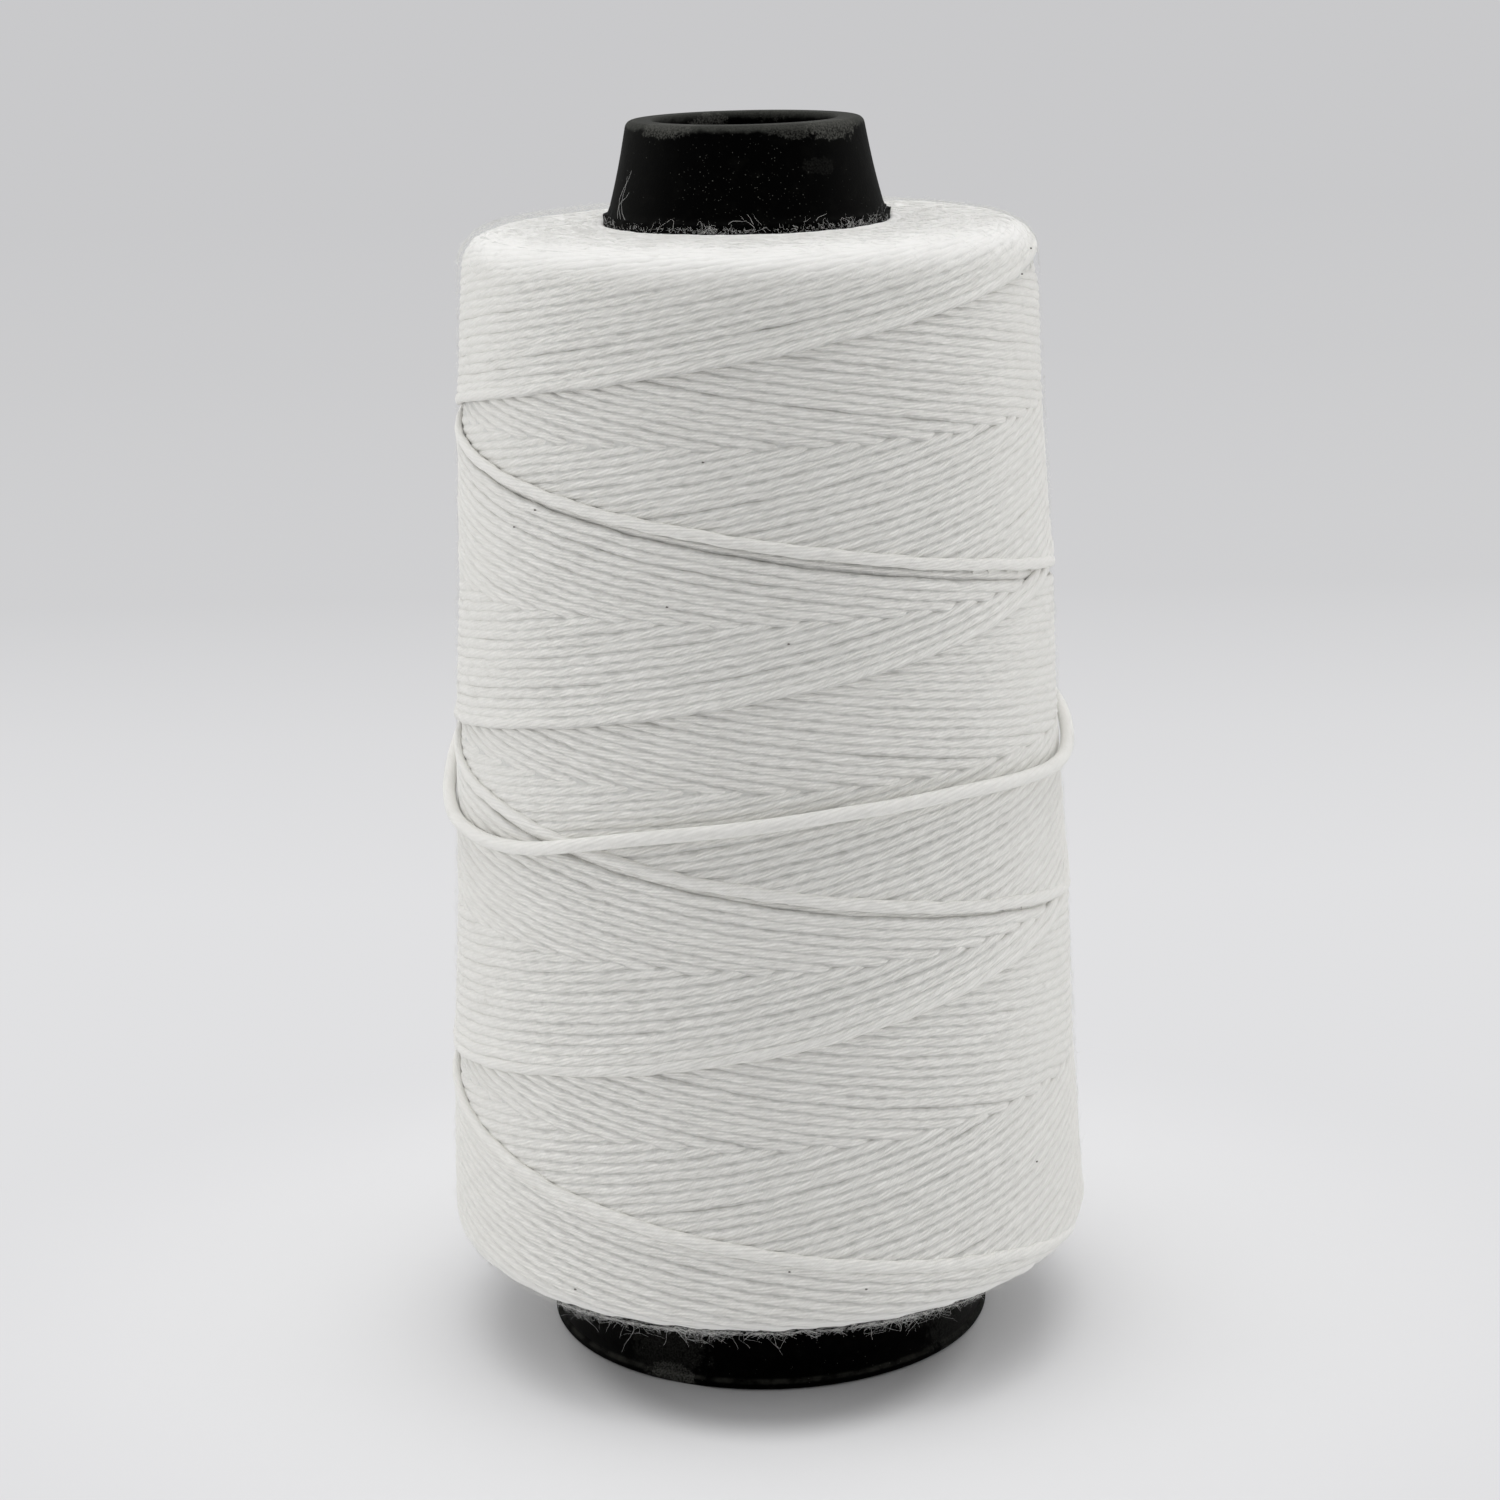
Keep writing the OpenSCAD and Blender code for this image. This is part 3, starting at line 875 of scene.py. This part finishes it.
def packed_turns():
    """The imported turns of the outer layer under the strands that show, which close the gaps between them."""
    outside = np.linspace(SIDE_BOTTOM - 5.5, SIDE_TOP + 6, 160)
    radius, height, facing = skin(outside)
    outline = list(zip(radius - SKIN_DEPTH * np.cos(facing), height - SKIN_DEPTH * np.sin(facing)))
    low, high = outline[0][1], outline[-1][1]
    inner_high, inner_low = side_radius(np.array([high, low])) - LAYER_DEPTH + 0.05
    outline += [(inner_high - TOP_ROUND, high - 0.1), (inner_high, high - TOP_ROUND)]
    outline += [(inner_low, low + BOTTOM_ROUND), (inner_low - BOTTOM_ROUND, low + 0.1)]
    return lathe("packed_turns", outline, 160)


def plastic_cone():
    nose_slope = (NOSE_FOOT_RADIUS - NOSE_RIM_RADIUS) / NOSE_HEIGHT
    lean = math.degrees(math.atan(nose_slope))
    rim_height = CONE_HEIGHT - NOSE_EDGE_ROUND
    rim_side = NOSE_RIM_RADIUS + NOSE_EDGE_ROUND * nose_slope
    rim_centre = (rim_side - NOSE_EDGE_ROUND / math.cos(math.radians(lean)), rim_height)
    ring_round = FOOT_RING_HEIGHT / 2
    foot_side = FOOT_RADIUS - FOOT_RING_STEP
    hole_bottom = CONE_HEIGHT - NOSE_HOLE_LENGTH
    inner_at_hole = NOSE_RIM_RADIUS + NOSE_HOLE_LENGTH * nose_slope - WALL
    outline = [(foot_side - WALL, 0), (FOOT_RADIUS - ring_round, 0)]
    outline += arc((FOOT_RADIUS - ring_round, ring_round), ring_round, -75, 75, 6)
    outline += [(body_radius(z), z) for z in (FOOT_RING_HEIGHT, 5, 30, 60, 90, LEDGE - 0.5, LEDGE)]
    outline += [(NOSE_FOOT_RADIUS + 0.05, LEDGE + 0.15)]
    for share in (0.1, 0.25, 0.4, 0.55, 0.7, 0.85):
        height = LEDGE + share * (rim_height - LEDGE)
        hollow = NOSE_HOLLOW * math.sin(math.pi * share)
        outline.append((NOSE_FOOT_RADIUS - (height - LEDGE) * nose_slope - hollow, height))
    outline += arc(rim_centre, NOSE_EDGE_ROUND, lean, 90, 8)
    outline += arc((NOSE_HOLE_RADIUS + 0.4, CONE_HEIGHT - 0.4), 0.4, 90, 180, 6)
    outline += [(NOSE_HOLE_RADIUS, hole_bottom), (inner_at_hole, hole_bottom)]
    outline += [(NOSE_FOOT_RADIUS - WALL, LEDGE)]
    cone = lathe("black_plastic_cone", outline, 288)
    rough_edges(cone.data)
    return cone


def rough_edges(mesh):
    """The ragged burr that the mould left at the nose's foot, and the flat where its gate was cut off."""
    rng = np.random.default_rng(5)
    waves = [(rng.integers(5, 60), rng.uniform(0, TURN)) for _ in range(9)]
    cut = math.radians(-113)
    for vertex in mesh.vertices:
        x, y, z = vertex.co / MM
        radius, angle = math.hypot(x, y), math.atan2(y, x)
        if abs(z - LEDGE) < 0.01 and radius > NOSE_FOOT_RADIUS:
            ragged = sum(math.sin(count * angle + phase) for count, phase in waves) / 4
            lumps = math.exp(-((angle + 0.1) / 0.05) ** 2) + 0.6 * math.exp(-((angle + 3.03) / 0.04) ** 2)
            grown_radius = radius + BURR * (0.6 + ragged) + 0.1 * lumps
            vertex.co.xy *= grown_radius / radius
            vertex.co.z += MM * (0.12 * ragged + 0.25 * lumps)
        if z < FOOT_RING_HEIGHT - 0.01 and radius > FOOT_RADIUS - FOOT_RING_STEP - WALL + 0.5:
            off = math.remainder(angle - cut, TURN)
            if abs(off) < 0.3:
                vertex.co.xy *= min(1, (FOOT_RADIUS - 0.35) / math.cos(off) / radius)


# ---- The loose end ----

LOOSE_DIAMETER = 1.25
LOOSE_ROUTE = [
    (-11.4, 28.3, 60.3), (-14.4, 27.0, 61.1), (-18.2, 25.1, 62.4), (-22.1, 22.1, 63.6),
    (-25.8, 18.1, 64.4), (-28.7, 13.3, 64.4), (-30.4, 8.7, 63.2), (-31.4, 4.4, 61.2),
    (-31.8, 0.6, 59.3), (-31.7, -3.3, 58.0), (-30.8, -8.3, 57.1), (-28.9, -13.5, 56.9),
    (-26.1, -18.3, 57.0), (-22.5, -22.5, 57.6), (-18.3, -26.1, 58.8), (-13.4, -28.8, 60.0),
    (-8.2, -30.6, 60.9), (-2.8, -31.6, 61.6), (2.8, -31.5, 62.2), (8.2, -30.6, 62.7),
    (13.4, -28.7, 62.9), (18.1, -25.9, 63.0), (22.4, -22.4, 62.8), (25.9, -18.2, 62.4),
    (28.7, -13.4, 62.0), (30.6, -8.2, 61.9), (31.5, -2.8, 62.5), (31.5, 2.8, 63.7),
    (30.5, 8.2, 64.9), (28.6, 13.3, 65.5), (25.8, 18.1, 65.5), (22.3, 22.3, 64.7),
    (18.6, 25.6, 62.9), (14.9, 28.0, 60.4), (11.4, 29.8, 57.4), (8.3, 31.0, 54.0), (5.6, 31.7, 50.3),
]
PLIES = 10
LAY_LENGTH = 17.0


def spin(name, strands, yarn, finish, sides, height=1.0, relief=0.0):
    """Grows the yarn along strands, as one piece."""
    return grown(strands_carrier(name, strands), yarn, Width=MM, Height=height * MM, Sides=sides, Plies=PLIES,
                 Lay_Length=LAY_LENGTH, Relief=relief * MM, Finish=finish)


def grow_fibres(name, fibres, yarn, finish, sides=3):
    """One piece of single fibres, riding with the rest."""
    piece = spin(name, fibres, yarn, finish, sides)
    dress(piece)
    return piece


def smooth_route(route, steps):
    """Points on a smooth curve through the route."""
    p = np.array(route)
    p = np.concatenate([[2 * p[0] - p[1]], p, [2 * p[-1] - p[-2]]])
    points = []
    for a, b, c, d in zip(p[:-3], p[1:-2], p[2:-1], p[3:]):
        for t in np.arange(steps) / steps:
            points.append(0.5 * (2 * b + (c - a) * t + (2 * a - 5 * b + 4 * c - d) * t * t
                                 + (3 * b - a - 3 * c + d) * t ** 3))
    points.append(p[-2])
    return np.array(points)


def frayed_end(points):
    """The fibres that stand out where the thread was cut."""
    rng = np.random.default_rng(21)
    forward = (points[-1] - points[-4]) / np.linalg.norm(points[-1] - points[-4])
    outward = points[-1] * (1, 1, 0) / np.linalg.norm(points[-1][:2])
    fibres = []
    for _ in range(60):
        heading = forward + rng.normal(0, 0.28, 3)
        heading /= np.linalg.norm(heading)
        side = np.cross(heading, outward)
        root = points[-1] - 0.3 * forward + rng.normal(0, 0.22, 1) * side + rng.normal(0, 0.22, 1) * outward
        fibres.append(fibre(root, outward, heading, rng.uniform(0.7, 2.4), 0, rng.uniform(-0.2, 0.2), 0.06))
    return fibres


def loose_thread_end(yarn, finish, fibre_finish):
    points = smooth_route(LOOSE_ROUTE, 18)
    along = distance_along(points)
    outward = points * (1, 1, 0)
    outward /= np.linalg.norm(outward, axis=1)[:, None]
    one = {"points": points, "outward": outward, "width": np.full(len(points), LOOSE_DIAMETER * 1.1),
           "along": along, "crowding": np.zeros(len(points))}
    piece = spin("loose_thread_end_white", [one], yarn, finish, 40, relief=0.03)
    dress(piece, "loose_thread_end")
    fray = grow_fibres("frayed_end", frayed_end(points), yarn, fibre_finish)
    fuzz = grow_fibres("fuzz_on_loose_end", fuzz_on_loose_end(points), yarn, fibre_finish)
    return piece


# ---- Camera, stage and light ----

BACKDROP = (0.584, 0.584, 0.595, 1)


def aim_camera():
    """Puts the camera in front of the package, a little above it."""
    place = Vector((0, -0.32095, 0.14664))
    tilt, pan, roll = 0.261, -0.0028, -0.0233
    level = Vector((math.sin(pan), math.cos(pan), 0))
    sideways = Vector((math.cos(pan), -math.sin(pan), 0))
    forward = level * math.cos(tilt) - Vector((0, 0, math.sin(tilt)))
    upright = level * math.sin(tilt) + Vector((0, 0, math.cos(tilt)))
    right = sideways * math.cos(roll) + upright * math.sin(roll)
    up = upright * math.cos(roll) - sideways * math.sin(roll)
    camera = link(bpy.data.objects.new("camera", bpy.data.cameras.new("camera")))
    camera.data.sensor_width = 36
    camera.data.lens = 77.396
    camera.data.clip_start, camera.data.clip_end = 0.01, 50
    turn = Matrix((right, up, -forward)).transposed().to_4x4()
    camera.matrix_world = Matrix.Translation(place) @ turn
    bpy.context.scene.camera = camera


def floor_material():
    """A pale floor that takes the shadow near the package, with a painted contact shadow round the foot, and
    glows like the backdrop further off.
    """
    material, tree, shader = new_finish("pale_floor")
    place = own_place(tree)
    depth = add(tree, "ShaderNodeSeparateXYZ", {0: place}).outputs["Y"]
    ramp = add(tree, "ShaderNodeValToRGB", {"Fac": spread(depth, 0.0, 1.2, smooth=False)})
    first, last = ramp.color_ramp.elements
    first.position, first.color = 0.0, (0.752, 0.752, 0.765, 1)
    last.position, last.color = 1.0, BACKDROP
    for position, level in ((0.12, 0.752), (0.2, 0.71), (0.3, 0.63), (0.6, 0.6)):
        ramp.color_ramp.elements.new(position).color = grey(level, 1.017)
    glow = add(tree, "ShaderNodeEmission", {"Color": ramp.outputs["Color"]})
    # Round the foot the floor's colour is painted darker, a painted contact shadow that reaches further
    # towards the front than to the sides.
    beside_foot = vector_node("MULTIPLY_ADD", place, (1.35, 1.0, 1.0), (0.0, 0.0045, 0.0))
    clear_of_painted_shadow = spread(vector_node("LENGTH", beside_foot), 0.0237, 0.031)
    colour = mix_colour(clear_of_painted_shadow, (0.46, 0.46, 0.465, 1), (0.815, 0.815, 0.82, 1))
    set_finish(tree, shader, colour, Roughness=0.9, Specular_IOR_Level=0.1)
    stretched = vector_node("MULTIPLY", place, (0.94, 1.14, 1.0))
    far = spread(vector_node("LENGTH", stretched), 0.020, 0.094)
    seen = times(far, camera_sees(tree))
    both = add(tree, "ShaderNodeMixShader", {0: seen, 1: shader.outputs[0], 2: glow.outputs[0]})
    tree.links.new(both.outputs[0], tree.nodes["Material Output"].inputs["Surface"])
    return material


def lay_floor():
    mesh = bpy.data.meshes.new("floor")
    size = 15
    corners = [(-size, -size, 0), (size, -size, 0), (size, size, 0), (-size, size, 0)]
    mesh.from_pydata(corners, [], [(0, 1, 2, 3)])
    mesh.materials.append(floor_material())
    link(bpy.data.objects.new("floor", mesh))


def soft_light(name, place, aim, size, power):
    data = bpy.data.lights.new(name, "AREA")
    data.shape, data.size, data.energy = "SQUARE", size, power
    lamp = link(bpy.data.objects.new(name, data))
    direction = Vector(aim) - Vector(place)
    lamp.matrix_world = Matrix.Translation(place) @ direction.to_track_quat("-Z", "Y").to_matrix().to_4x4()


def light_the_room():
    """A dim room, a little brighter behind the package, which the camera sees as the even backdrop."""
    world = bpy.data.worlds.new("room")
    bpy.context.scene.world = world
    world.use_nodes = True
    tree = world.node_tree
    seen = camera_sees(tree)
    direction = add(tree, "ShaderNodeTexCoord").outputs["Generated"]
    behind = spread(add(tree, "ShaderNodeSeparateXYZ", {0: direction}).outputs["Y"], -0.9, 0.1)
    room = mix_colour(behind, (0.455, 0.455, 0.46, 1), (0.575, 0.575, 0.58, 1))
    tree.links.new(mix_colour(seen, room, BACKDROP), tree.nodes["Background"].inputs["Color"])
    middle = (0, 0, 0.06)
    soft_light("light_above", (0, 0.05, 0.9), middle, 0.8, 4.2)
    soft_light("light_left", (-0.8, -0.05, 0.28), middle, 0.6, 1.75)
    soft_light("light_right", (0.8, -0.05, 0.28), middle, 0.6, 1.5)


# ---- Building the scene ----

aim_camera()
lay_floor()
light_the_room()

yarn = yarn_tree()
thread_finish = thread_material(ply_group())
fibre_finish = fibre_material()
loose_thread_end(yarn, thread_finish, fibre_finish)

groups = {
    "strands_up_newer": winding_strands("up", range(0, 10)),
    "strands_up_older": winding_strands("up", range(10, TRIPS)),
    "newest_strand_down": winding_strands("down", [0]),
    "strands_down_newer": winding_strands("down", range(1, 10)) + groove_strands(),
    "strands_down_older": winding_strands("down", range(10, TRIPS)),
    "turns_at_top": level_turns(SIDE_TOP + 2.9, SIDE_TOP + 16.1, 0.6, 0.08, 11),
    "turns_at_bottom": level_turns(SIDE_BOTTOM - 2.8, SIDE_BOTTOM - 13.3, 0.7, 0.1, 12),
}
for name, strands in groups.items():
    height, sides = {"newest_strand_down": (0.72, 12), "turns_at_top": (0.4, 8)}.get(name, (0.6, 8))
    piece = spin(name, strands, yarn, thread_finish, sides, height)
    hidden_nodes = ["outer_thread_layer"] if "strand" in name else []
    dress(piece, *hidden_nodes)

packed_finish = body_material()
for piece, node in ((package_body(), "thread_package"), (packed_turns(), "outer_thread_layer")):
    piece.data.materials.append(packed_finish)
    dress(piece, node)

cone = plastic_cone()
cone.data.materials.append(plastic_material(patch_group()))
dress(cone, "plastic_cone")

fibre_groups = {
    "fuzz_on_side_1": fuzz_on_package(SIDE_BOTTOM - 2, 62, 9000, 31, (0.5, 1.5), (0.1, 0.65), 0.4, 0.022),
    "fuzz_on_side_2": fuzz_on_package(62, SIDE_TOP + 1, 9000, 36, (0.5, 1.5), (0.1, 0.65), 0.4, 0.022),
    "fuzz_on_top": fuzz_on_package(
        SIDE_TOP + 0.5, SIDE_TOP + 15.6, 9500, 32, (0.5, 1.6), (0.05, 0.5), 0.5, 0.022),
    "fuzz_underneath": fuzz_on_package(
        SIDE_BOTTOM - 7, SIDE_BOTTOM - 2.6, 5500, 33, (0.3, 1.1), (0.2, 0.85), 0.8, 0.02),
    "lint_at_nose": lint_on_ring(14.0, 115.4, 750, 34, (0.25, 1.5), 0.1, [(-46, 9), (-100, 12), (60, 15)]),
    "lint_at_foot": lint_on_ring(
        30.6, 10.1, 1600, 35, (0.35, 2.0), -0.7, [(-64, 4), (-128, 5), (-104, 3), (80, 12)]),
    "long_hairs": long_hairs(),
}
for name, fibres in fibre_groups.items():
    grow_fibres(name, fibres, yarn, fibre_finish)
grow_fibres("dark_specks", specks(), yarn, speck_material(), 6)

bpy.context.scene.view_settings.view_transform = "Standard"
